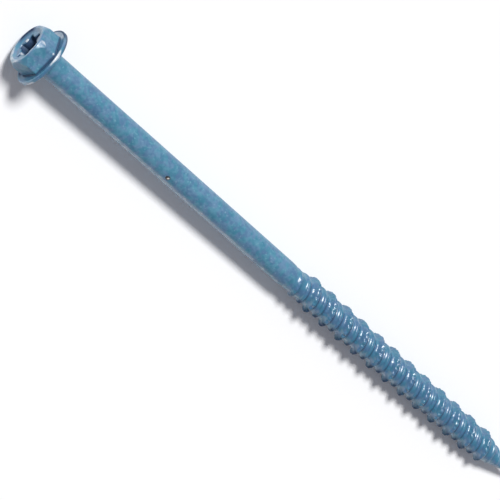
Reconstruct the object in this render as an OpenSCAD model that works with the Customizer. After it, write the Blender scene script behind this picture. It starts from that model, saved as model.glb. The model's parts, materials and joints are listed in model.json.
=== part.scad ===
// Concrete screw: a hex flange head with a star recess, a plain shank
// and a right-hand thread whose high and low ridges run side by side.
// The screw lies as it comes to rest, on the flange rim and the thread,
// with the centre of the bearing face under the flange at the origin.

/* [Shank] */
// Length from the bearing face to the tip
screw_length = 127; // [90:1:150]
// Diameter of the plain shank
shank_dia = 4.7; // [4.6:0.05:5]
// Radius of the fillet under the flange
neck_round = 0.4; // [0.2:0.05:0.8]

/* [Thread] */
// Length of the threaded end, with the tip
thread_length = 64; // [40:1:75]
// Diameter over the high ridge
high_dia = 6.3; // [5.6:0.05:7]
// Diameter over the low ridge
low_dia = 5.2; // [4.8:0.05:5.5]
// Diameter at the root between the ridges
root_dia = 4.4; // [4:0.05:4.5]
// Advance of the thread in one turn
lead = 4.45; // [3.5:0.05:6]
// Width of the flat on the crest of each ridge
crest_flat = 0.5; // [0.1:0.05:0.6]
// Slope of the flanks away from the plane across the screw, in degrees
flank_angle = 35; // [20:1:40]
// Length over which the ridges rise out of the shank
run_in = 4.6; // [3:0.1:10]
// Length of the step from the shank down to the root
shank_step = 0.5; // [0.2:0.1:1]
// Depth of the notches across the crest of the high ridge
notch_depth = 0.22; // [0.1:0.02:0.5]

/* [Tip] */
// Length of the cone at the tip
tip_length = 8; // [6:0.5:12]
// Diameter of the blunt end
tip_dia = 0.5; // [0.3:0.1:1]
// Length at the tip that is free of ridges
tip_bare = 4; // [1:0.5:5]
// Length over which the ridges die away towards the tip
ridge_fall = 6; // [3:0.5:8]

/* [Head] */
// Distance across the flats of the hexagon
hex_flats = 7.94; // [7:0.01:9]
// Height of the head from the bearing face
head_height = 4.2; // [3.8:0.1:6]
// Diameter of the round top face of the hexagon
hex_face_dia = 7.8; // [6.8:0.1:7.9]
// Slope of the chamfer on the hexagon, measured from the axis, in degrees
hex_chamfer = 26; // [25:1:50]
// Radius of the edge round the top face
hex_edge = 0.2; // [0.1:0.05:0.3]
// Turn of the hexagon about the axis, in degrees
hex_turn = 38; // [0:1:60]

/* [Flange] */
// Diameter of the flange
flange_dia = 11.3; // [10:0.1:13]
// Thickness of the flange where it meets the hexagon
flange_thickness = 0.6; // [0.5:0.05:1.5]
// Thickness of the flange at its rim
rim_thickness = 0.8; // [0.7:0.05:0.9]
// Radius of the rim's edges
rim_edge = 0.3; // [0.15:0.05:0.35]

/* [Star recess] */
// Diameter of the dish in the top face
dish_dia = 6.9; // [6.2:0.1:7]
// Diameter of the dish's floor
dish_floor_dia = 5.8; // [5.6:0.1:6.1]
// Depth of the dish
dish_depth = 0.45; // [0.2:0.05:0.6]
// Diameter over the six lobes of the star
star_dia = 5.45; // [4.5:0.05:5.5]
// Diameter between opposite ribs of the star
star_rib_dia = 3.95; // [3.5:0.05:4.2]
// Radius of each rib
star_rib_round = 1.1; // [0.9:0.05:1.2]
// Depth of the star below the dish
star_depth = 2.4; // [1.5:0.1:2.5]
// Turn of the star about the axis, in degrees
star_turn = 8; // [0:1:60]

/* [Hidden] */
$fn = 96;

COATING = [0.27, 0.5, 0.65];
LOBES = 6;
ARC_STEPS = 5;          // straight steps in each rounded edge
OVERCUT = 0.2;          // how far a cut runs past the face that it opens
CORNER_CLEAR = 0.1;     // flat left on the flange past the hexagon's corners

// Thread grid: straight columns along the screw, crossed by helical rows
COLUMNS = 36;
NOTCH_EVERY = 2;        // columns from one notch to the next
THREAD_TURN = -150;     // angle of the first column, 0 is straight down at rest

shank_r = shank_dia / 2;
root_r = root_dia / 2;
tip_r = tip_dia / 2;
flange_r = flange_dia / 2;
hex_corner_r = hex_flats / 2 / cos(30);
high_rise = (high_dia - root_dia) / 2;
low_rise = (low_dia - root_dia) / 2;
thread_from = screw_length - thread_length;
cone_from = screw_length - tip_length;
ridge_to = screw_length - tip_bare;
full_to = min(cone_from, ridge_to - ridge_fall);
step_r = (shank_r + root_r) / 2;

// One lead of the thread's section: [distance along the axis, rise, notched]
crest_half = crest_flat / 2;
high_half = crest_half + high_rise * tan(flank_angle);
low_half = crest_half + low_rise * tan(flank_angle);
SECTION = [
    [-high_half, 0, false],
    [-crest_half, high_rise, true],
    [crest_half, high_rise, true],
    [high_half, 0, false],
    [lead / 2 - low_half, 0, false],
    [lead / 2 - crest_half, low_rise, false],
    [lead / 2 + crest_half, low_rise, false],
    [lead / 2 + low_half, 0, false]
];
STEPS = len(SECTION);
turns = ceil(thread_length / lead);
grid_from = screw_length - lead * (turns + 1);
last_row = turns * STEPS;

// At rest the flange's rim touches the floor, and so does the last full crest,
// between two notches
column_angle = 360 / COLUMNS;
turn_share = -THREAD_TURN / 360;
leads_to_tip = ceil((screw_length - full_to + crest_half) / lead + turn_share) - turn_share;
crest_contact = screw_length - leads_to_tip * lead + crest_half;
rest_tilt = atan2(flange_r - high_dia / 2, crest_contact + rim_edge);

// Points of an arc, as [distance from the axis, distance along the axis]
function arc(centre, radius, from, to) =
    [for (k = [0 : ARC_STEPS]) let (a = from + (to - from) * k / ARC_STEPS)
        centre + radius * [cos(a), sin(a)]];

// Radius of the core, and the share of its full rise that a ridge has there
function core_r(u) =
    u < cone_from ? root_r : tip_r + (root_r - tip_r) * (screw_length - u) / tip_length;
function ridge_share(u) =
    max(0, min(1, (u - thread_from) / run_in, (ridge_to - u) / ridge_fall));

// A point of the thread grid
function notch(column) = column % NOTCH_EVERY == 0 ? notch_depth : 0;
function grid_u(column, row) =
    grid_from + lead * (column / COLUMNS + floor(row / STEPS)) + SECTION[row % STEPS][0];
function grid_r(column, row, u) =
    let (s = SECTION[row % STEPS])
    core_r(u) + ridge_share(u) * (s[1] - (s[2] ? notch(column) : 0));
function around(column, r, u) =
    let (a = THREAD_TURN + column_angle * column) [r * cos(a), r * sin(a), u];

// Grid of the threaded end: a start ring, the helical rows and an end ring
module threaded_end() {
    start_u = grid_from - 2 * high_half;
    points = concat(
        [for (c = [0 : COLUMNS - 1]) around(c, root_r, start_u)],
        [for (row = [0 : last_row], c = [0 : COLUMNS - 1])
            let (u = grid_u(c, row)) around(c, grid_r(c, row, u), u)],
        [for (c = [0 : COLUMNS - 1]) around(c, tip_r, screw_length)]);
    function start(c) = c;
    function at(c, row) = COLUMNS * (1 + row) + c;
    function end(c) = COLUMNS * (2 + last_row) + c;
    function quad(a, b, c, d) = [[a, d, c], [a, c, b]];
    last = COLUMNS - 1;

    // Between neighbouring columns
    skirt = [for (c = [0 : last - 1]) each quad(start(c), start(c + 1), at(c + 1, 0), at(c, 0))];
    rows = [for (row = [0 : last_row - 1], c = [0 : last - 1])
        each quad(at(c, row), at(c + 1, row), at(c + 1, row + 1), at(c, row + 1))];
    nose = [for (c = [0 : last - 1]) each quad(at(c, last_row), at(c + 1, last_row), end(c + 1), end(c))];
    // Where the last column meets the first, one turn further on
    seam = [for (row = [0 : last_row - STEPS - 1])
        each quad(at(last, row), at(0, row + STEPS), at(0, row + STEPS + 1), at(last, row + 1))];
    seam_start = concat(
        [[at(last, 0), start(0), start(last)], [at(last, 0), at(0, 0), start(0)]],
        [for (row = [0 : STEPS - 1]) [at(last, 0), at(0, row + 1), at(0, row)]]);
    seam_end = concat(
        [[at(0, last_row), end(last), end(0)], [at(0, last_row), at(last, last_row), end(last)]],
        [for (row = [last_row - STEPS : last_row - 1])
            [at(0, last_row), at(last, row), at(last, row + 1)]]);
    caps = [[for (c = [0 : last]) start(c)], [for (c = [last : -1 : 0]) end(c)]];

    polyhedron(points, concat(skirt, rows, nose, seam, seam_start, seam_end, caps));
}

// Flange, neck and plain shank, turned as one profile
module flange_and_shank() {
    rotate_extrude()
        polygon(concat(
            [[0, -flange_thickness], [hex_corner_r + CORNER_CLEAR, -flange_thickness]],
            arc([flange_r - rim_edge, rim_edge - rim_thickness], rim_edge, -90, 0),
            arc([flange_r - rim_edge, -rim_edge], rim_edge, 0, 90),
            arc([shank_r + neck_round, neck_round], neck_round, 270, 180),
            [[shank_r, thread_from - shank_step], [step_r, thread_from], [0, thread_from]]));
}

// Hexagon with its corners chamfered down to the round top face
module hexagon() {
    top = -head_height;
    edge_tangent = hex_edge * tan((90 - hex_chamfer) / 2);
    chamfer_out = hex_corner_r - hex_face_dia / 2 + OVERCUT;
    intersection() {
        translate([0, 0, top])
            rotate(hex_turn)
                cylinder(h = head_height - flange_thickness / 2, r = hex_corner_r, $fn = 6);
        rotate_extrude()
            polygon(concat(
                [[0, top]],
                arc([hex_face_dia / 2 - edge_tangent, top + hex_edge], hex_edge, -90, -hex_chamfer),
                [[hex_face_dia / 2 + chamfer_out, top + chamfer_out / tan(hex_chamfer)],
                 [hex_face_dia / 2 + chamfer_out, 0], [0, 0]]));
    }
}

// Outline of the star: a circle with six round ribs standing into it
module star_outline() {
    difference() {
        circle(d = star_dia);
        for (k = [0 : LOBES - 1])
            rotate(star_turn + 360 / LOBES * k)
                translate([star_rib_dia / 2 + star_rib_round, 0])
                    circle(r = star_rib_round);
    }
}

// Dish in the top face, with the star sunk into its floor
module star_recess() {
    top = -head_height;
    floor_u = top + dish_depth;
    rotate_extrude()
        polygon([[0, top - OVERCUT], [dish_dia / 2, top - OVERCUT], [dish_dia / 2, top],
                 [dish_floor_dia / 2, floor_u], [0, floor_u]]);
    translate([0, 0, floor_u - OVERCUT])
        linear_extrude(star_depth + OVERCUT) star_outline();
}

module concrete_screw() {
    color(COATING)
        rotate([0, 90 + rest_tilt, 0])
            union() {
                difference() {
                    union() {
                        flange_and_shank();
                        hexagon();
                    }
                    star_recess();
                }
                threaded_end();
            }
}

concrete_screw();
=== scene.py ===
# %% [markdown]
# # A blue concrete screw
# A concrete screw is formed cold from one length of steel wire: the head is struck, the thread is rolled,
# and a blue coating is baked on. Nothing on it is bolted or glued, so this lesson makes its whole skin as
# one closed mesh, and then gives the skin its coating, a white table, a light and a camera.
#
# The solid that the skin covers is loaded first, as a fixed frame. It says where the screw lies, and its
# box is kept, and the table is laid at its lowest point.

# %% Load the frame
import json
import math

import bmesh
import bpy
import numpy as np
from mathutils import Matrix, Vector, noise


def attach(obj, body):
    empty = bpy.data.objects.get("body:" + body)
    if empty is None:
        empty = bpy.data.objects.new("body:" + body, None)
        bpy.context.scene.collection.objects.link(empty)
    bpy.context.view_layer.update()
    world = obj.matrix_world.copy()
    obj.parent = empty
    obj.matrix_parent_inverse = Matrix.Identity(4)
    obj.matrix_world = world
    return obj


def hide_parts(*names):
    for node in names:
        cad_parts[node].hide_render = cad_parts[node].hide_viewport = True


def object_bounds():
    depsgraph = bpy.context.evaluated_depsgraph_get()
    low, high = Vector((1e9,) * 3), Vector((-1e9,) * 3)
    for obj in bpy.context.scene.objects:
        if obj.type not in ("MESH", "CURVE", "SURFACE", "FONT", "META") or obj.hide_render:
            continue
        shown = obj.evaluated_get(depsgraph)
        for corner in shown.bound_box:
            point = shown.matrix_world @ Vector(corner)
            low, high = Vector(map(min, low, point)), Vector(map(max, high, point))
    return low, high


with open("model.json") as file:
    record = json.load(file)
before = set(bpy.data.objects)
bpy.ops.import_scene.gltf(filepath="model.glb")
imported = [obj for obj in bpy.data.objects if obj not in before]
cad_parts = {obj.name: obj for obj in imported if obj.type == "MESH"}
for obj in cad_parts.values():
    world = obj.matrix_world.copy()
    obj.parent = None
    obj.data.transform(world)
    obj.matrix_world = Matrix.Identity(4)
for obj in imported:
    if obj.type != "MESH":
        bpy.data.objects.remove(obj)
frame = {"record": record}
cad_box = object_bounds()
print("CAD box in metres:", [tuple(round(x, 4) for x in corner) for corner in cad_box])

# %% [markdown]
# ## The screw's own axes
# The screw lies on its flange and its thread, so its axis dips a little towards the tip. We could model it
# lying down, but it is far easier to model along a straight axis, in millimetres, and to lay the mesh down
# at the end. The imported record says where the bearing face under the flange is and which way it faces, and
# that is all we need: local z runs from the bearing face to the tip, local x points down to the table, and
# local y is the table's own y. So an angle of 0 degrees round the axis faces the table, and 180 faces up.
# Lengths below are in millimetres and angles in degrees, unless a line says otherwise.

# %% The screw's own axes
MM = 0.001
seat = next(m for m in frame["record"]["mounts"] if m["name"] == "bearing_face")
to_tip = Vector(seat["axis"]).normalized()
to_side = Vector((0, 1, 0))
to_table = to_side.cross(to_tip)
lie_down = Matrix((to_table, to_side, to_tip)).transposed().to_4x4()
lie_down.translation = Vector(seat["pos_m"])
print("axis dips", round(math.degrees(math.asin(-to_tip.z)), 3), "degrees towards the tip")

# %% [markdown]
# ## Rounded corners
# No edge on a struck screw is a knife edge. A bevel modifier could round the finished mesh, but it
# struggles where the hexagon's chamfer thins out to nothing. So each section of the screw is drawn as a
# few corners, each with its own radius, and this helper replaces a corner with a short arc. An arc that is
# too large for the straight stretches beside it is trimmed to fit them.

# %% Rounded corners
MOST_OF_SIDE = 0.45


def corner_arc(before, corner, after, radius, steps):
    """Points of the arc that replaces a corner on the way from one place to another."""
    back, ahead = before - corner, after - corner
    back_length, ahead_length = np.linalg.norm(back), np.linalg.norm(ahead)
    back, ahead = back / back_length, ahead / ahead_length
    half = 0.5 * math.acos(np.clip(back @ ahead, -1, 1))
    reach = min(radius / math.tan(half), MOST_OF_SIDE * back_length, MOST_OF_SIDE * ahead_length)
    turn = math.pi - 2 * half
    middle = back + ahead
    centre = corner + middle / np.linalg.norm(middle) * reach / math.cos(half)
    first, last = corner + back * reach - centre, corner + ahead * reach - centre
    return [centre + (math.sin(turn - s) * first + math.sin(s) * last) / math.sin(turn)
            for s in np.linspace(0, turn, steps + 1)]


right_angle = [np.array(place, float) for place in ((0, 0), (1, 0), (1, 1))]
print("a rounded right angle:", np.round(corner_arc(*right_angle, radius=0.2, steps=2), 3).tolist())

# %% [markdown]
# ## A section with a finish
# A section is a line of such corners. Smooth shading would make the flat stretches between the arcs look
# swollen, and a common cure is to mark edges as sharp, which looks hard in a close view. Here each stretch
# gets two extra points instead, close to its ends, which hold it flat. A corner also carries a finish, a
# few numbers that say how the coating looks there. The extra points keep it, so it changes only along the
# stretch.

# %% A section with a finish
SHARP = 0
HOLD, MOST_OF_STRETCH = 0.05, 0.25


def soften(corners, steps):
    """A line of (x, y, radius, finish) corners as points (x, y, finish...), with an arc for each radius."""
    places = [np.array(corner[:2], float) for corner in corners]
    runs = []
    for index, corner in enumerate(corners):
        radius, finish = corner[2:]
        arc = [places[index]]
        if radius != SHARP:
            arc = corner_arc(places[index - 1], places[index], places[index + 1], radius, steps)
        runs.append([np.array([*point, *finish]) for point in arc])
    points = []
    for run, following in zip(runs, runs[1:]):
        stretch = (following[0] - run[-1])[:2]
        step = np.zeros_like(run[-1])
        step[:2] = min(MOST_OF_STRETCH, HOLD / np.linalg.norm(stretch)) * stretch
        points += [*run, run[-1] + step, following[0] - step]
    return np.array(points + runs[-1])


right_angle = soften([(0, 0, SHARP, ()), (1, 0, 0.2, ()), (1, 1, SHARP, ())], 2)
print("a softened right angle:", len(right_angle), "points")

# %% [markdown]
# ## Columns round the axis
# The mesh is a grid: columns run along the screw and rows run round it. A plain cylinder has even columns,
# but six flats and six lobes want points close to the hexagon's corners and to the edges of the lobes, and
# few in between. So each sixth of a turn is spread by a density that peaks at those two places. On the
# shank and the thread, which are round, the columns are even. They are counted from about where the
# thread's grid begins.

# %% Columns round the axis
SECTORS, HALF_COLUMNS, FIRST_SECTOR = 6, 10, -2
COLUMNS = SECTORS * 2 * HALF_COLUMNS
SECTOR_ANGLE, FLAT_ANGLE = 360.0 / SECTORS, 8.0
LOBE_EDGE, LOBE_CROWD, LOBE_SPREAD = 21.2, 5, 1.8
CORNER_EDGE, CORNER_CROWD, CORNER_SPREAD = 29.3, 4, 1.6
FINE_STEPS = 600


def bell(off, width):
    """1 where off is 0, dying away smoothly on both sides over about the width."""
    return np.exp(-(off / width) ** 2)


fine = np.linspace(0, SECTOR_ANGLE / 2, FINE_STEPS + 1)
at_lobes = LOBE_CROWD * bell(fine - LOBE_EDGE, LOBE_SPREAD)
at_corners = CORNER_CROWD * bell(fine - CORNER_EDGE, CORNER_SPREAD)
density = 1 + at_lobes + at_corners
filled = np.cumsum(density) - density[0]
half_sector = np.interp(np.linspace(0, filled[-1], HALF_COLUMNS + 1), filled, fine)
from_flat = np.tile(np.concatenate([-half_sector[:0:-1], half_sector[:-1]]), SECTORS)
flat_middles = FLAT_ANGLE + SECTOR_ANGLE * (np.arange(SECTORS) + FIRST_SECTOR)
head_angles = np.repeat(flat_middles, 2 * HALF_COLUMNS) + from_flat
even_angles = flat_middles[0] - SECTOR_ANGLE / 2 + 360.0 * np.arange(COLUMNS) / COLUMNS
closest = float(np.diff(half_sector).min())
print(COLUMNS, "columns, closest", round(closest, 2), "degrees apart in the head")

# %% [markdown]
# ## The hexagon's outline
# The hexagon is six flats with small round corners, because the die that strikes it is worn. It could be
# cut from a cylinder with boolean modifiers, but they leave long thin faces that shade badly. Here it is
# written as a radius for each angle, measured from the middle of a flat, so that the grid's columns can
# follow it.

# %% The hexagon's outline
HEX_FLATS, HEX_CORNER_ROUND = 7.94, 0.3


def hexagon_radius(degrees):
    """Distance from the axis to the hexagon, at an angle from the middle of a flat."""
    flat = HEX_FLATS / 2
    angle, corner = math.radians(abs(degrees)), math.radians(SECTOR_ANGLE / 2)
    arc_from = math.atan((flat - HEX_CORNER_ROUND) * math.tan(corner) / flat)
    if angle <= arc_from:
        return flat / math.cos(angle)
    centre = (flat - HEX_CORNER_ROUND) / math.cos(corner)
    off = corner - angle
    return centre * math.cos(off) + math.sqrt(HEX_CORNER_ROUND ** 2 - (centre * math.sin(off)) ** 2)


hexagon_range = [round(hexagon_radius(degrees), 3) for degrees in (0, SECTOR_ANGLE / 2)]
print("hexagon: from the flats to the corners", hexagon_range, "mm off the axis")

# %% [markdown]
# ## The star's outline
# The star recess takes a driver bit. It is a circle with six round ribs standing into it, one behind each
# flat. A bit's lobes are never sharp where a rib meets the circle, so the smaller of the two radii is
# taken with a soft minimum, which rounds the place where they cross. It also spares the grid a sudden step
# there.

# %% The star's outline
STAR_DIA, STAR_RIB_DIA, STAR_RIB_ROUND = 5.45, 3.95, 1.1
LOBE_SOFTNESS = 0.05


def star_radius(degrees):
    """Distance from the axis to the star's wall, at an angle from the middle of a rib."""
    lobe = STAR_DIA / 2
    centre = STAR_RIB_DIA / 2 + STAR_RIB_ROUND
    angle = math.radians(degrees)
    inside = STAR_RIB_ROUND ** 2 - (centre * math.sin(angle)) ** 2
    past_ribs = 2 * lobe
    rib = centre * math.cos(angle) - math.sqrt(inside) if inside > 0 else past_ribs
    weights = [math.exp((lobe - radius) / LOBE_SOFTNESS) for radius in (rib, lobe)]
    return lobe - LOBE_SOFTNESS * math.log(sum(weights))


star_range = [round(star_radius(degrees), 3) for degrees in (0, SECTOR_ANGLE / 2)]
print("star: from the ribs to the lobes", star_range, "mm off the axis")

# %% [markdown]
# ## Where the coating is worn, dark or glossy, and where light and shade are painted
# The blue coating isn't even: edges are rubbed pale, and the struck face of the head shines while the
# drawn wire is satin. Light and shade are painted into it as well: hollows, creases and sides turned from
# the light get painted shade, and some glints and reflections are painted as pale spots and stretches.
# That could be painted on an image with a UV map, but here every point of the mesh gets three numbers
# instead: how pale it is from wear or a painted highlight, how dark it is, mostly from painted shade, and
# how glossy the coating is there.
# Blender blends them across each face, and the material reads them by name. Most places are a stretch of
# angles round the axis, so these two helpers say how far an angle is from a place, and how much it lies
# within a stretch, which is written as its middle, its half width and the width over which it fades.

# %% Where the coating is pale, dark or glossy
def off_by(degrees, middle):
    """How far an angle is from another, the short way round."""
    return abs((degrees - middle + 180) % 360 - 180)


def within(degrees, middle, half_width, fade):
    """1 near an angle, fading to 0 beyond a half width."""
    return np.clip((half_width + fade - off_by(degrees, middle)) / fade, 0, 1)


print("from 350 to 10 degrees:", off_by(350, 10), "and in a fading stretch there:", within(350, 10, 15, 10))

# %% [markdown]
# ## The finish of the top of the head
# Inside the star the coating is darkened as painted shade in the recess, and its mouth and the edges of the
# top face are pale, partly from wear and partly as a painted highlight. One lobe, one rib, a stretch of the
# chamfer and the foot of one corner get painted glints: pale spots where the lamp's glints would fall. The
# edge of the face gets painted shade on one side and, on another, a pale stretch that is a painted
# reflection of the white table. A noise texture would scatter such marks anywhere, so each is an angle and
# a width, and a function gives the finish of its corner of the section at any angle.

# %% The finish of the top of the head
# Finishes of the top: inside the star the dark number is painted shade, and the star's mouth is pale from
# wear and a painted highlight
IN_STAR, STAR_MOUTH, FACE, FLAT = (0, 0.8, 0.12), (0.4, 0.1, 0.8), (0, 0, 1), (0, 0, 0)
# Painted glints: pale spots on one lobe, one rib and the foot of one corner, where the lamp's glints fall
PAINTED_GLINT, PAINTED_GLINT_WIDTH, GLINT_LOBE, GLINT_RIB = 1.5, 6.5, 297.0, 12.0
# The face's edge: pale from wear and a painted highlight, with painted shade along one stretch and a painted
# reflection of the white table along another
EDGE_WEAR_AND_HIGHLIGHT, EDGE_PAINTED_SHADE, EDGE_PAINTED_REFLECTION = 0.6, 0.95, 0.25
PAINTED_SHADE_STRETCH, PAINTED_REFLECTION_STRETCH = (25.0, 22.0, 18.0), (285.0, 25.0, 30.0)
# A painted highlight along one stretch of the chamfer
CHAMFER_PAINTED_HIGHLIGHT, CHAMFER_HIGHLIGHT_AT, CHAMFER_GLOSS = 0.95, 152.0, 0.15
# A painted glint at the foot of one corner
CORNER_GLINT_AT, CORNER_GLINT_WIDTH = 158.0, 3.0


def with_painted_glint(finish, turned, place):
    """A finish with a painted glint near one angle: a pale spot where the lamp's glint falls."""
    worn, dark, gloss = finish
    share = bell(off_by(turned, place), PAINTED_GLINT_WIDTH)
    return worn + PAINTED_GLINT * share, dark * (1 - share), gloss


def face_edge(turned):
    """The edges of the top face: pale from wear and a painted highlight, with painted shade along one
    stretch and a painted reflection along another.
    """
    dark = EDGE_PAINTED_SHADE * within(turned, *PAINTED_SHADE_STRETCH)
    painted_reflection = EDGE_PAINTED_REFLECTION * within(turned, *PAINTED_REFLECTION_STRETCH)
    return EDGE_WEAR_AND_HIGHLIGHT * (1 - dark) + painted_reflection, dark, 1 - dark


def chamfer_edge(turned):
    """The lower edge of the chamfer, with a painted highlight along one stretch."""
    return CHAMFER_PAINTED_HIGHLIGHT * bell(off_by(turned, CHAMFER_HIGHLIGHT_AT), PAINTED_GLINT_WIDTH), 0, CHAMFER_GLOSS


def corner_foot(turned):
    """The side of the hexagon just above the flange, with a painted glint at one corner."""
    return PAINTED_GLINT * bell(off_by(turned, CORNER_GLINT_AT), CORNER_GLINT_WIDTH), 0, 0


print("worn, dark and gloss of the face's edge on top:", [round(float(x), 2) for x in face_edge(180)])

# %% [markdown]
# ## The finish of the flange
# The flange shines less than the face, and painted shade darkens it, most of all in the crease where the
# hexagon stands on it. Its rim is pale, partly from wear and partly as a painted highlight, and one stretch
# carries a brighter painted highlight, with painted shade just inside it. On the far side the flange gets
# painted light and its rim painted shade, on the low side the flange gets painted shade, and on the near
# side its edge gets a painted highlight. The rim's side also gets painted shade towards the top. These marks
# lie over each other, so one function works them all out for an angle, from the hexagon outwards.

# %% The finish of the flange
# Painted shade in the crease where the hexagon stands on the flange, and a little over the flange
JUNCTION, FLANGE_PAINTED_SHADE, FLANGE_GLOSS = (0, 0.75, 0.2), 0.15, 0.7
# The rim: pale from wear and a painted highlight, and a brighter painted highlight along one stretch
RIM_WEAR_AND_HIGHLIGHT, RIM_GLINT_AT, RIM_GLINT_WIDTH = 0.4, 162.0, 17.0
# Painted shade just inside that highlight, and the highlight carried onto the rim's side
INNER_PAINTED_SHADE, SIDE_GLINT, SIDE_GLOSS = 0.6, 0.6, 0.5
# Painted light on the far side of the flange, and painted shade on its rim there
FAR_PAINTED_LIGHT_AND_SHADE, FAR_STRETCH = 0.8, (80.0, 30.0, 20.0)
# Painted shade on the flange's low side
LOW_PAINTED_SHADE, LOW_STRETCH = 0.7, (306.0, 12.0, 12.0)
# A painted highlight on the near edge of the rim
NEAR_GLINT, NEAR_AT, NEAR_WIDTH = 1.2, 236.0, 14.0
# Painted shade on the rim's side, strongest towards the top
SIDE_PAINTED_SHADE, SIDE_DARK_AT = 0.8, 120.0


def flange_finishes(turned):
    """The finishes of the flange by the hexagon, further out, on its rim and on its side."""
    far = FAR_PAINTED_LIGHT_AND_SHADE * within(turned, *FAR_STRETCH)
    low = LOW_PAINTED_SHADE * within(turned, *LOW_STRETCH)
    near = NEAR_GLINT * bell(off_by(turned, NEAR_AT), NEAR_WIDTH)
    rim_glint = bell(off_by(turned, RIM_GLINT_AT), RIM_GLINT_WIDTH)
    side_dark = SIDE_PAINTED_SHADE * max(0, math.cos(math.radians(turned - SIDE_DARK_AT))) * (1 - rim_glint)
    dark, gloss = FLANGE_PAINTED_SHADE * (1 - far) + low, FLANGE_GLOSS * (1 - low)
    inner = (far, dark + INNER_PAINTED_SHADE * rim_glint, gloss)
    outer = (far, dark, gloss)
    rim = (RIM_WEAR_AND_HIGHLIGHT * (1 - far) + rim_glint, far, 1 - far)
    side = (near + SIDE_GLINT * rim_glint, side_dark, SIDE_GLOSS)
    return inner, outer, rim, side


print("worn, dark and gloss of the rim on top:", [round(float(x), 2) for x in flange_finishes(180)[2]])

# %% [markdown]
# ## The head in section
# Cut the head along its axis at any angle and the section is the same list of corners: the star's floor
# and wall, the dish, the round top face, the chamfer, the flat, the flange and the neck. Only two radii
# change with the angle. So the head isn't put together from several shapes: one section is drawn for every
# column, and the rows join them up. A sharp corner on a straight stretch has no form, and only says where
# a finish ends.

# %% The head in section
HEAD_HEIGHT, FACE_RADIUS, CHAMFER = 4.2, 3.9, math.radians(26)
DISH_RADIUS, DISH_FLOOR_RADIUS, DISH_DEPTH = 3.45, 2.9, 0.45
STAR_DEPTH, STAR_POINT, STAR_DRAFT, FIRST_RING = 2.4, 0.25, 0.8, 0.05
FLANGE_RADIUS, FLANGE_THICKNESS, RIM_THICKNESS = 5.65, 0.6, 0.8
SHANK_RADIUS, NECK_END, SHANK_GLOSS = 2.35, 2.0, 0.12
EDGE_ROUND, DISH_ROUND, CHAMFER_ROUND, FOOT_ROUND, RIM_ROUND, NECK_ROUND = 0.2, 0.12, 0.3, 0.15, 0.4, 0.4
# Where a finish ends on the star's wall, as a share of its depth, on the hexagon's side and on the flange
STAR_SHADE, FLAT_SHADE, INNER_RADIUS, RIM_REACH = 0.88, 0.4, 4.65, 0.45
# Painted shade on the neck, under the flange; the shank's own finish is plain
NECK, SHANK = (0, 0.3, 0.3), (0, 0, SHANK_GLOSS)
ARC_STEPS = 4


def head_section(degrees, turned):
    """The head's section from the star's floor to the shank; degrees are from the middle of a flat."""
    top, foot = -HEAD_HEIGHT, -FLANGE_THICKNESS
    dish_floor = top + DISH_DEPTH
    star_floor = dish_floor + STAR_DEPTH
    star, flat = star_radius(degrees), hexagon_radius(degrees)
    shade_radius = star * (STAR_DRAFT + STAR_SHADE * (1 - STAR_DRAFT))
    chamfer_end = top + (flat - FACE_RADIUS) / math.tan(CHAMFER)
    rim_from = FLANGE_RADIUS - RIM_REACH
    flange_slope = (RIM_THICKNESS - FLANGE_THICKNESS) / (FLANGE_RADIUS - INNER_RADIUS)
    inner, outer, rim, side = flange_finishes(turned)
    return soften([
        (FIRST_RING, star_floor + STAR_POINT, SHARP, IN_STAR),
        (star * STAR_DRAFT, star_floor, EDGE_ROUND, IN_STAR),
        (shade_radius, star_floor - STAR_SHADE * STAR_DEPTH, SHARP, with_painted_glint(IN_STAR, turned, GLINT_LOBE)),
        (star, dish_floor, EDGE_ROUND, with_painted_glint(STAR_MOUTH, turned, GLINT_RIB)),
        (DISH_FLOOR_RADIUS, dish_floor, EDGE_ROUND, FACE),
        (DISH_RADIUS, top, DISH_ROUND, face_edge(turned)),
        (FACE_RADIUS, top, EDGE_ROUND, face_edge(turned)),
        (flat, chamfer_end, CHAMFER_ROUND, chamfer_edge(turned)),
        (flat, chamfer_end + FLAT_SHADE, SHARP, FLAT),
        (flat, foot - 2 * FLAT_SHADE, SHARP, FLAT),
        (flat, foot - FLAT_SHADE, SHARP, corner_foot(turned)),
        (flat, foot, FOOT_ROUND, JUNCTION),
        (INNER_RADIUS, foot, SHARP, inner),
        (rim_from, foot - flange_slope * (rim_from - INNER_RADIUS), SHARP, outer),
        (FLANGE_RADIUS, -RIM_THICKNESS, RIM_ROUND, rim),
        (FLANGE_RADIUS, 0, EDGE_ROUND, side),
        (SHANK_RADIUS, 0, NECK_ROUND, NECK),
        (SHANK_RADIUS, NECK_END, SHARP, SHANK)], ARC_STEPS)


sections = np.array([head_section(degrees, turned) for degrees, turned in zip(from_flat, head_angles)])
print("head section:", sections.shape[1], "points in each of", len(sections), "columns")

# %% [markdown]
# ## The rows of the head
# A section is a column of the grid, and the mesh is easier to join row by row. So the sections are turned
# round: the first points of all the columns are the first row, and so on. A row is given by an angle, a
# radius and a height for each of its points, and that is how the shank and the thread are made too.

# %% The rows of the head
def ring(angles, radius, height):
    """A row of points round the axis, in millimetres."""
    a = np.radians(angles)
    return np.stack([radius * np.cos(a), radius * np.sin(a), height * np.ones_like(a)], axis=-1)


head_rows = np.array([ring(head_angles, row[:, 0], row[:, 1]) for row in sections.transpose(1, 0, 2)])
head_finish = sections[..., 2:].transpose(1, 0, 2)
print("head:", len(head_rows), "rows")

# %% [markdown]
# ## The plain shank
# The shank is drawn wire. A cylinder would do, but then its points would have to match those of the head
# and of the thread. A few rows of the same grid match by themselves. They also turn the head's crowded
# columns into the even columns of the thread, a little at each row, where no one can see it on a round
# bar. The side that is lowest in the picture is paler with painted light from the white table, carried by
# the worn number, and it gets a little more gloss.

# %% The plain shank
SCREW_LENGTH, THREAD_LENGTH, LEAD = 127.0, 64.0, 4.45
SHANK_ROWS = 14
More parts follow.
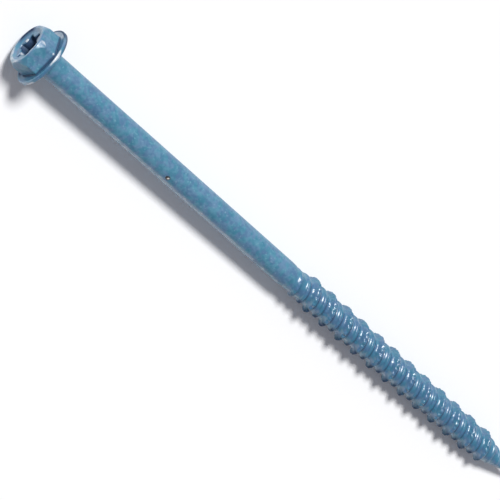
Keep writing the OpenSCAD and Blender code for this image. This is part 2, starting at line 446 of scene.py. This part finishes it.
# The side lowest in the picture: paler with painted light from the white table, and more gloss
LOW_SIDE, LOW_PAINTED_LIGHT, LOW_GLOSS = (270.0, 34.0, 22.0), 0.66, 0.5
turns = math.ceil(THREAD_LENGTH / LEAD)
grid_from = SCREW_LENGTH - LEAD * (turns + 1)
shank_end = grid_from - LEAD / 2


def shank_row(share):
    """A row of the shank, at a share of the way from the neck to the thread's grid."""
    angles = head_angles + share * (even_angles - head_angles)
    return ring(angles, SHANK_RADIUS, NECK_END + share * (shank_end - NECK_END))


shank_rows = np.array([shank_row(share) for share in np.linspace(0, 1, SHANK_ROWS + 1)[1:]])
low_side = within(even_angles, *LOW_SIDE)
shank_finish = np.stack([LOW_PAINTED_LIGHT * low_side, 0 * low_side, SHANK_GLOSS + LOW_GLOSS * low_side], axis=-1)
print("shank:", len(shank_rows), "rows, to", round(shank_rows[-1, 0, 2], 2), "mm")

# %% [markdown]
# ## One lead of the thread in section
# Two ridges are rolled side by side: a high one that cuts into the concrete, and a low one half a turn
# behind that steadies it. A screw modifier could sweep one section round the axis, but then all turns are
# alike, and here the ridges rise, fall and are notched. So only one lead is drawn, with the same helper as
# the head: each ridge has a small crest and rounded feet, the foot on the head's side fuller than the
# other, and a flat root lies between them. Its points are kept as the middle of their ridge, the place
# beside it and the rise.

# %% One lead of the thread in section
ROOT_RADIUS, HIGH_RISE, LOW_RISE = 2.2, 0.95, 0.4
CREST_FLAT, HIGH_FLANK, LOW_FLANK = 0.5, math.radians(35), math.radians(40)
NEAR_ROUND, BEYOND_ROUND, HIGH_ROUND, LOW_ROUND = 1.0, 0.35, 0.43, 0.12
RIDGE_STEPS, NO_FINISH = 2, ()


def ridge(rise, flank, crest_round):
    """A ridge in section, from its foot on the head's side to the other: places and heights."""
    crest = CREST_FLAT / 2
    foot = crest + rise * math.tan(flank)
    return soften([
        (-foot - NEAR_ROUND / 2 - HOLD, 0, SHARP, NO_FINISH),
        (-foot, 0, NEAR_ROUND, NO_FINISH),
        (-crest, rise, crest_round, NO_FINISH),
        (crest, rise, crest_round, NO_FINISH),
        (foot, 0, BEYOND_ROUND, NO_FINISH),
        (foot + BEYOND_ROUND / 2 + HOLD, 0, SHARP, NO_FINISH)], RIDGE_STEPS)[1:-1]


high_ridge = ridge(HIGH_RISE, HIGH_FLANK, HIGH_ROUND)
low_ridge = ridge(LOW_RISE, LOW_FLANK, LOW_ROUND)
middles = np.repeat([0, LEAD / 2], [len(high_ridge), len(low_ridge)])
thread_section = np.column_stack([middles, np.concatenate([high_ridge, low_ridge])])
STEPS = len(thread_section)
forward = bool(np.all(np.diff(thread_section[:, 0] + thread_section[:, 1]) > 0))
print("thread section:", STEPS, "points to a lead of", LEAD, "mm, each further on than the last:", forward)

# %% [markdown]
# ## The thread along the screw
# The ridges rise out of the shank over the first turn and die away on the cone of the tip. Notches are cut
# across the high crest, so that it saws its way into the wall of the hole. They could be cut with
# booleans, but there are hundreds of them. Here the core, the rise and the notches are each a number for a
# place along the axis or for an angle, and can be read off for every point of the grid.

# %% The thread along the screw
THREAD_FROM, RUN_IN, SHANK_STEP = SCREW_LENGTH - THREAD_LENGTH, 4.6, 0.8
TIP_LENGTH, TIP_RADIUS, TIP_BARE, RIDGE_FALL = 8.0, 0.25, 4.0, 6.0
NOTCH_DEPTH, NOTCH_HALF_WIDTH, NOTCH_SPACING = 0.22, 7.0, 20.0
GRID_ANGLE = -150.0


def core_radius(z):
    """Radius of the core: the shank, the root of the thread, then the cone of the tip."""
    step = np.clip((z - THREAD_FROM + SHANK_STEP) / SHANK_STEP, 0, 1)
    smooth_step = step * step * (3 - 2 * step)
    root = SHANK_RADIUS + (ROOT_RADIUS - SHANK_RADIUS) * smooth_step
    cone = TIP_RADIUS + (ROOT_RADIUS - TIP_RADIUS) * (SCREW_LENGTH - z) / TIP_LENGTH
    return np.minimum(root, cone)


def ridge_share(z):
    """How much of its full rise a ridge has at a place along the axis."""
    rising = (z - THREAD_FROM) / RUN_IN
    falling = (SCREW_LENGTH - TIP_BARE - z) / RIDGE_FALL
    return np.clip(np.minimum(rising, falling), 0, 1)


def notch_depth(angles):
    """How far the notches cut down the high crest."""
    off = np.abs((angles - GRID_ANGLE + NOTCH_SPACING / 2) % NOTCH_SPACING - NOTCH_SPACING / 2)
    return NOTCH_DEPTH * np.clip(1 - off / NOTCH_HALF_WIDTH, 0, 1)


full_to = SCREW_LENGTH - TIP_BARE - RIDGE_FALL
print("ridges at full height from", THREAD_FROM + RUN_IN, "to", full_to, "mm")

# %% [markdown]
# ## The rows of the thread
# A row of the thread is a helix: it follows one point of the section once round the axis, and ends one
# lead further on. Where a ridge is still rising it is narrower too. Rolled steel isn't perfect, so the
# ridges carry small lumps. A displace modifier could add them, but it would move the plain shank as well.
# Here a noise is added to the radius, twice as much on a high crest as at its feet, and it is sunk by
# half, so that the lumps hardly leave the solid below.

# %% The rows of the thread
NARROWEST = 0.5
HIGH_LUMPS, LOW_LUMPS, LUMP_SIZE = 0.16, 0.05, 0.45
LUMP_FOOT, LUMP_POWER, LUMP_SINK = 0.1, 0.5, 0.5


def thread_row(row):
    """The points of one helical row, and the share of its full rise that its ridge has at each."""
    turn, step = divmod(row, STEPS)
    middle, along, rise = thread_section[step]
    middle_z = grid_from + LEAD * ((even_angles - GRID_ANGLE) / 360 + turn) + middle
    z = middle_z + along * (NARROWEST + (1 - NARROWEST) * ridge_share(middle_z))
    share = ridge_share(z)
    radius = core_radius(z) + share * np.minimum(rise, HIGH_RISE - notch_depth(even_angles))
    lumps = np.array([noise.noise(Vector(point) / LUMP_SIZE) for point in ring(even_angles, radius, z)])
    highest = LOW_LUMPS if middle else HIGH_LUMPS
    lump_height = highest * min(1, (rise + LUMP_FOOT) / LOW_RISE) ** LUMP_POWER
    radius = radius + lump_height * share * (lumps - LUMP_SINK)
    return ring(even_angles, radius, z), share


rows_and_shares = [thread_row(row) for row in range(turns * STEPS + 1)]
thread_rows = np.array([row for row, share in rows_and_shares])
tip_row = ring(even_angles, TIP_RADIUS, SCREW_LENGTH)[None]
outermost = float(np.hypot(thread_rows[..., 0], thread_rows[..., 1]).max())
print("thread:", len(thread_rows), "rows in", turns, "turns, up to", round(outermost, 3), "mm off the axis")

# %% [markdown]
# ## The finish of the thread
# The thread is a little darker than the shank, and painted shade darkens the root at the foot of each
# ridge on the tip's side. Its crests are rubbed, and all of it shines on top. On the picture's low side the
# crests get painted shade, nearly black, and are dull, and that side gets the shank's painted light.
# A cavity map could find crests and feet, but the section already knows them: a row's rise and place say
# what it is.

# %% The finish of the thread
TOP_SIDE = (170.0, 40.0, 35.0)
# Painted shade at the foot of each ridge on the tip's side and on the low side's crests
THREAD_DARK, BEYOND_PAINTED_SHADE, LOW_CREST_PAINTED_SHADE, CREST_POWER = 0.12, 0.5, 0.8, 1.3
CREST_WORN, CREST_GLOSS, ROOT_GLOSS, FORMED = 0.3, 1.0, 0.2, 0.25
top_side = within(even_angles, *TOP_SIDE)


def row_finish(row, share):
    """How worn, dark and glossy a helical row is, where its ridge has a share of its full rise."""
    middle, along, rise = thread_section[row % STEPS]
    formed = np.minimum(1, share / FORMED)
    crest = formed * min(1, rise / LOW_RISE)
    top = share * (rise / (LOW_RISE if middle else HIGH_RISE)) ** CREST_POWER
    beyond = BEYOND_PAINTED_SHADE if along > 0 and rise < LOW_RISE / 2 else 0
    worn = CREST_WORN * share * rise / HIGH_RISE * (1 - low_side) + LOW_PAINTED_LIGHT * low_side
    dark = share * (THREAD_DARK + beyond) * (1 - low_side) + LOW_CREST_PAINTED_SHADE * top * low_side
    root_gloss = SHANK_GLOSS + (ROOT_GLOSS - SHANK_GLOSS) * share
    gloss = root_gloss + (CREST_GLOSS - ROOT_GLOSS) * formed * top_side
    return np.stack([worn, dark, gloss * (1 - low_side * crest)], axis=-1)


thread_finish = np.array([row_finish(row, share) for row, (_, share) in enumerate(rows_and_shares)])
print("thread: darkest", round(float(thread_finish[..., 1].max()), 2), "and glossiest",
      round(float(thread_finish[..., 2].max()), 2))

# %% [markdown]
# ## Joining the rows
# Four neighbouring points of the grid make a face. Rings close on themselves, so the last column is joined
# to the first. The helical rows don't, so there the faces stop at the last column for now. The star's
# floor and the tip end in a single point each, a pole, because a ring of faces with a shared point closes
# a round end neatly.

# %% Joining the rows
STAR_PIP, TIP_PIP = 0.01, 0.03
ring_rows = np.concatenate([head_rows, shank_rows])
star_point = [0, 0, float(sections[0, 0, 1]) + STAR_PIP]
tip_point = [0, 0, SCREW_LENGTH + TIP_PIP]
points = np.concatenate([ring_rows.reshape(-1, 3), thread_rows.reshape(-1, 3), tip_row.reshape(-1, 3),
                         [star_point, tip_point]])
START = len(ring_rows)
END = START + len(thread_rows) - 1
TIP = END + 1
STAR_POLE = (TIP + 1) * COLUMNS
TIP_POLE = STAR_POLE + 1
LAST = COLUMNS - 1


def at(row, column):
    """The number of a point of the grid; the column after the last is the first."""
    return row * COLUMNS + column % COLUMNS


def band(row, columns):
    """Faces between a row and the next, over some of the columns."""
    return [(at(row, c), at(row, c + 1), at(row + 1, c + 1), at(row + 1, c)) for c in range(columns)]


faces = [(STAR_POLE, at(0, c + 1), at(0, c)) for c in range(COLUMNS)]
for row in range(START - 1):
    faces += band(row, COLUMNS)
for row in range(START - 1, TIP):
    faces += band(row, LAST)
faces += [(at(TIP, c), at(TIP, c + 1), TIP_POLE) for c in range(COLUMNS)]
print("grid:", len(points), "points and", len(faces), "faces, with the seam still open")

# %% [markdown]
# ## Closing the seam
# A helical row ends one lead further on than it began. So in the thread the last column is joined to the
# first column of the next turn. That leaves a gap at the start and at the tip, where there is no turn
# before or after, and a fan of triangles closes each. Filling holes with an operator would work too, but
# it chooses its own faces.

# %% Closing the seam
for row in range(START, END - STEPS):
    faces.append((at(row, LAST), at(row + STEPS, 0), at(row + STEPS + 1, 0), at(row + 1, LAST)))
faces.append((at(START, LAST), at(START - 1, LAST), at(START - 1, 0), at(START, 0)))
faces += [(at(START, LAST), at(START + k, 0), at(START + k + 1, 0)) for k in range(STEPS)]
faces.append((at(END, 0), at(TIP, 0), at(TIP, LAST), at(END, LAST)))
faces += [(at(END, 0), at(END - k, LAST), at(END - k - 1, LAST)) for k in range(STEPS)]
print("seam closed:", len(faces), "faces")

# %% [markdown]
# ## The skin
# The points become a mesh in metres, which is laid down onto the table in one move, and the three numbers
# of the finish become attributes of its points. The screw is one rigid piece, so its skin rides on the
# only body there is and stands for the plain solid. Smooth shading is all that it needs: the arcs are in
# the mesh already.

# %% The skin
mesh = bpy.data.meshes.new("screw_skin")
mesh.from_pydata((points * MM).tolist(), [], faces)
mesh.transform(lie_down)
finishes = np.concatenate([head_finish.reshape(-1, 3), np.tile(shank_finish, (len(shank_rows), 1)),
                           thread_finish.reshape(-1, 3), np.tile(SHANK, (COLUMNS, 1)), [IN_STAR, SHANK]])
for name, values in zip(("worn", "dark", "gloss"), finishes.T):
    mesh.attributes.new(name, "FLOAT", "POINT").data.foreach_set("value", np.ascontiguousarray(values))
mesh.validate()
mesh.shade_smooth()
screw = bpy.data.objects.new("screw_skin", mesh)
bpy.context.scene.collection.objects.link(screw)
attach(screw, "root")
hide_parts("concrete_screw")
print("skin:", len(mesh.vertices), "points,", sum(len(p.vertices) - 2 for p in mesh.polygons), "triangles")

# %% [markdown]
# ## Is the skin closed?
# A skin that stands for a solid has no holes and no face turned inside out. The overlays of edit mode
# would show them to the eye. In a script, a bmesh copy tells us: each edge has to join two faces that wind
# the same way round, and the volume inside has to be positive, which it isn't if all the faces look
# inwards.

# %% Is the skin closed?
copy = bmesh.new()
copy.from_mesh(mesh)
open_edges = sum(not edge.is_contiguous for edge in copy.edges)
volume = copy.calc_volume(signed=True) / MM ** 3
copy.free()
print("open or twisted edges:", open_edges, "and volume:", round(volume, 1), "cubic millimetres")

# %% [markdown]
# ## Nodes by name
# A material is a graph of nodes. In the shader editor they are placed and wired by hand, and a script
# needs a few lines for each. These helpers make one node each and hand back its output, so the coating
# below reads like a recipe. Patterns are placed by the object's own coordinates, in metres, so they need
# no UV map and stay put.

# %% Nodes by name
coating = bpy.data.materials.new("blue_coating")
coating.use_nodes = True
nodes, links = coating.node_tree.nodes, coating.node_tree.links
shader = nodes["Principled BSDF"]
place_on = nodes.new("ShaderNodeTexCoord").outputs["Object"]


def node(kind, settings=None, **inputs):
    """A shader node; an input, a value or a socket, is named by its label or by its place, as in i0."""
    made = nodes.new(kind)
    for name, value in (settings or {}).items():
        setattr(made, name, value)
    for name, value in inputs.items():
        socket = made.inputs[int(name[1:]) if name[1:].isdigit() else name.replace("_", " ")]
        if isinstance(value, bpy.types.NodeSocket):
            links.new(value, socket)
        else:
            socket.default_value = value
    return made


def maths(operation, first, second):
    """Two numbers added, multiplied and so on."""
    return node("ShaderNodeMath", {"operation": operation}, i0=first, i1=second).outputs[0]


def mix(share, first, second):
    """Two colours mixed, with a share of the second."""
    return node("ShaderNodeMix", {"data_type": "RGBA"}, i0=share, i6=first, i7=second).outputs[2]


def remap(value, low, high, to_low=0.0, to_high=1.0):
    """A smooth step from one range to another."""
    return node("ShaderNodeMapRange", {"interpolation_type": "SMOOTHSTEP"}, Value=value, From_Min=low,
                From_Max=high, To_Min=to_low, To_Max=to_high).outputs[0]


def cloud(per_metre, detail=2.0):
    """A cloudy pattern with so many puffs to a metre."""
    return node("ShaderNodeTexNoise", Vector=place_on, Scale=per_metre, Detail=detail).outputs[0]


def painted(name):
    """One of the finishes that are stored on the skin's points."""
    return node("ShaderNodeAttribute", {"attribute_name": name}).outputs["Fac"]


print("new material:", coating.name, "with", len(nodes), "nodes so far")

# %% [markdown]
# ## The blue coating
# The coating is sprayed on thinly and baked, so its blue is cloudy: patches of lighter and darker blue a
# millimetre or two wide, pale flecks, and a drift between a greener and a redder blue. One flat colour
# would look like plastic. So a few clouds of different sizes mix the blues, and the glossy places get a
# richer one, because a polished coating scatters less light.

# %% The blue coating
DEEP, PLAIN, PALE = (0.07, 0.183, 0.287, 1), (0.138, 0.285, 0.401, 1), (0.26, 0.45, 0.54, 1)
TEAL, VIOLET, RICH = (0.02, 0.27, 0.36, 1), (0.1, 0.18, 0.37, 1), (0.0, 0.15, 0.31, 1)
LARGE_PATCHES, SMALL_PATCHES, PATCH_EDGES, PATCH_SHARE = 450, 1500, (0.38, 0.62), 0.5
FLECKS, FLECK_EDGES, FLECK_SHARE = 2000, (0.58, 0.75), 0.7
HUES, HUE_EDGES, HUE_SHARE, RICH_SHARE = 800, (0.4, 0.6), 0.3, 0.8

both_patches = maths("ADD", cloud(LARGE_PATCHES), cloud(SMALL_PATCHES))
patches = remap(maths("MULTIPLY", both_patches, PATCH_SHARE), *PATCH_EDGES)
flecks = remap(cloud(FLECKS), *FLECK_EDGES)
hue = mix(remap(cloud(HUES), *HUE_EDGES), TEAL, VIOLET)
colour = mix(patches, DEEP, PLAIN)
colour = mix(maths("MULTIPLY", flecks, FLECK_SHARE), colour, PALE)
colour = mix(maths("MULTIPLY", painted("gloss"), RICH_SHARE), colour, RICH)
colour = mix(HUE_SHARE, colour, hue)
print("blue coating:", len(nodes), "nodes so far")

# %% [markdown]
# ## Worn places, painted highlights and painted shade
# Wear on a real screw has ragged edges: the coating goes first where it is thinnest. The worn number
# carries painted highlights as well as wear. If it faded the blue to grey by itself, the edges would look
# airbrushed. So a fine cloud is added to it first, and only what comes out high turns pale, as bare metal
# or as a painted highlight. The dark number is mostly painted shade, and it is soft, so it is used as it is.

# %% Worn places, painted highlights and painted shade
# The pale colour of wear and of painted highlights, and the black that painted shade blends towards
PALE_WEAR_AND_HIGHLIGHT, BLACK = (0.65, 0.7, 0.74, 1), (0.008, 0.025, 0.085, 1)
WEAR_AND_HIGHLIGHT_CLOUD, WEAR_AND_HIGHLIGHT_DETAIL, WEAR_AND_HIGHLIGHT_RAGS, WEAR_AND_HIGHLIGHT_EDGES, WEAR_AND_HIGHLIGHT_SHARE = 900, 3.0, 0.8, (0.95, 1.45), 0.8

ragged_wear_and_highlight = maths("ADD", painted("worn"), maths("MULTIPLY", cloud(WEAR_AND_HIGHLIGHT_CLOUD, WEAR_AND_HIGHLIGHT_DETAIL), WEAR_AND_HIGHLIGHT_RAGS))
worn = remap(ragged_wear_and_highlight, *WEAR_AND_HIGHLIGHT_EDGES)
colour = mix(maths("MULTIPLY", worn, WEAR_AND_HIGHLIGHT_SHARE), colour, PALE_WEAR_AND_HIGHLIGHT)
# The dark number: painted shade in the recess, the creases and on sides turned from the light, and the
# thread's darker tone
colour = mix(painted("dark"), colour, BLACK)
print("with wear and dark places:", len(nodes), "nodes so far")

# %% [markdown]
# ## A chip in the coating
# On the shank a flake of the coating has come off: a dark spot with a bright glint of steel beside its
# middle. It is too thin to model, and too small for the numbers on the widely spaced points of the shank.
# So the material measures the distance from a point on the skin, makes it ragged with a cloud, and colours
# what is near.

# %% A chip in the coating
CHIP_ALONG, CHIP_ANGLE, GLINT_AHEAD = 31.0, 212.0, 0.15
CHIP_OUTER, CHIP_INNER, GLINT_OUTER, GLINT_INNER = 0.8 * MM, 0.5 * MM, 0.48 * MM, 0.3 * MM
RAGS, RAGGED_BY = 3000, 0.4 * MM
CHIP_DARK, GLINT = (0.035, 0.025, 0.02, 1), (0.95, 0.93, 0.88, 1)

chip_at = lie_down @ (MM * Vector(ring(np.array([CHIP_ANGLE]), SHANK_RADIUS, CHIP_ALONG)[0]))
glint_at = chip_at + MM * GLINT_AHEAD * to_tip
ragged = maths("MULTIPLY", cloud(RAGS), RAGGED_BY)


def ragged_distance(spot):
    """Ragged distance from a spot on the skin, in metres."""
    straight = node("ShaderNodeVectorMath", {"operation": "DISTANCE"}, i0=place_on, i1=spot)
    return maths("ADD", straight.outputs["Value"], ragged)


colour = mix(remap(ragged_distance(chip_at), CHIP_OUTER, CHIP_INNER), colour, CHIP_DARK)
colour = mix(remap(ragged_distance(glint_at), GLINT_OUTER, GLINT_INNER), colour, GLINT)
print("chip at", [round(x / MM, 2) for x in chip_at], "mm")

# %% [markdown]
# ## Satin, coat and grain
# The coating is satin, dull in the dark places, with a glossier film where it was pressed smooth. One
# roughness for the whole screw would lose that. The Principled shader has a second, clear layer, the coat,
# and the gloss number says how much of it there is. A fine bump gives the grain of the baked film. What is
# the same all over is set on the shader's own sockets.

# %% Satin, coat and grain
SATIN, DULL = 0.45, 0.95
SPECULAR, COAT_ROUGHNESS, COAT_IOR = 0.4, 0.35, 2.0
GRAIN, GRAIN_STRENGTH, GRAIN_HEIGHT = 1500, 1.0, 0.05 * MM

links.new(colour, shader.inputs["Base Color"])
links.new(remap(painted("dark"), 0.0, 1.0, SATIN, DULL), shader.inputs["Roughness"])
links.new(painted("gloss"), shader.inputs["Coat Weight"])
shader.inputs["Specular IOR Level"].default_value = SPECULAR
shader.inputs["Coat Roughness"].default_value = COAT_ROUGHNESS
shader.inputs["Coat IOR"].default_value = COAT_IOR
grain = node("ShaderNodeBump", Height=cloud(GRAIN), Strength=GRAIN_STRENGTH, Distance=GRAIN_HEIGHT)
links.new(grain.outputs[0], shader.inputs["Normal"])
links.new(grain.outputs[0], shader.inputs["Coat Normal"])
mesh.materials.append(coating)
print("finished coating:", len(nodes), "nodes and", len(links), "links")

# %% [markdown]
# ## The white table
# The screw lies on a plain white surface that catches its shadow. A curved backdrop is common in a studio,
# but the camera looks down and never sees a horizon, so one large flat plane is enough. It lies at the
# lowest point of the solid, where the flange's rim and a crest of the thread touch it. It is matt, so that
# it mirrors nothing.

# %% The white table
TABLE_SIZE, TABLE_MIDDLE = 40, 0.06
TABLE_COLOUR, TABLE_ROUGHNESS, TABLE_SPECULAR = (0.97, 0.97, 0.97, 1), 0.9, 0.1

floor_z = cad_box[0].z
bpy.ops.mesh.primitive_plane_add(size=TABLE_SIZE, location=(TABLE_MIDDLE, 0, floor_z))
table = bpy.context.object
table.name = "table"
white = bpy.data.materials.new("white_table")
white.use_nodes = True
white_shader = white.node_tree.nodes["Principled BSDF"]
white_shader.inputs["Base Color"].default_value = TABLE_COLOUR
white_shader.inputs["Roughness"].default_value = TABLE_ROUGHNESS
white_shader.inputs["Specular IOR Level"].default_value = TABLE_SPECULAR
table.data.materials.append(white)
print("table", round(-floor_z / MM, 3), "mm below the middle of the bearing face")

# %% [markdown]
# ## Light
# The shadow beside the screw is short and soft, and it lies on the near side. So there is one key light,
# high up on the far side and towards the head. An area lamp would be brighter at one end of the screw than
# at the other. A sun is even, and its angle sets how soft the shadow is. The world fills the shadow with a
# nearly neutral grey.

# %% Light
KEY_STRENGTH, KEY_SOFTNESS = 2.97, math.radians(13)
KEY_FROM = Vector((-0.29, 0.475, 0.85))
FILL = (0.258, 0.253, 0.276, 1)

sun = bpy.data.lights.new("key", "SUN")
sun.energy = KEY_STRENGTH
sun.angle = KEY_SOFTNESS
key = bpy.data.objects.new("key", sun)
bpy.context.scene.collection.objects.link(key)
key.rotation_euler = KEY_FROM.to_track_quat("Z", "Y").to_euler()
world = bpy.data.worlds.new("studio")
world.use_nodes = True
world.node_tree.nodes["Background"].inputs["Color"].default_value = FILL
bpy.context.scene.world = world
print("key light", round(math.degrees(math.asin(KEY_FROM.normalized().z)), 1), "degrees above the table")

# %% [markdown]
# ## Camera
# The photograph looks down on the screw from behind its head, and the screw runs across it at a slant. We
# could turn the camera by eye, but three facts fix it: how far it stands above the screw's axis and behind
# the bearing face, how far from the bearing face the middle of the picture is, and the slant of the axis
# in the picture. From these come the camera's own right, up and back, which are the columns of its matrix.
# The focal length is in pixels of a picture 500 wide.

# %% Camera
CAMERA_ABOVE, CAMERA_BEHIND = 427.5, 168.7
FOCAL_PX, IMAGE_PX, SENSOR = 2706.0, 500.0, 36
AIM_ALONG_PX, AIM_ASIDE_PX = 280.7, -6.35
SLANT = math.radians(41.46)

up = -to_table
aim = math.atan2(CAMERA_BEHIND, CAMERA_ABOVE) + math.atan2(AIM_ALONG_PX, FOCAL_PX)
look = to_tip * math.sin(aim) - up * math.cos(aim) + to_side * AIM_ASIDE_PX / FOCAL_PX
look.normalize()
along_image = (to_tip - look * to_tip.dot(look)).normalized()
aside_image = along_image.cross(look)
image_right = along_image * math.cos(SLANT) + aside_image * math.sin(SLANT)
image_up = -along_image * math.sin(SLANT) + aside_image * math.cos(SLANT)
place = Matrix((image_right, image_up, -look)).transposed().to_4x4()
place.translation = (up * CAMERA_ABOVE - to_tip * CAMERA_BEHIND) * MM

camera_data = bpy.data.cameras.new("camera")
camera_data.sensor_width = SENSOR
camera_data.lens = FOCAL_PX * SENSOR / IMAGE_PX
camera = bpy.data.objects.new("camera", camera_data)
bpy.context.scene.collection.objects.link(camera)
camera.matrix_world = place
bpy.context.scene.camera = camera
bpy.context.scene.view_settings.view_transform = "Standard"
print("camera looks down by", round(math.degrees(math.asin(-look.z)), 1), "degrees")
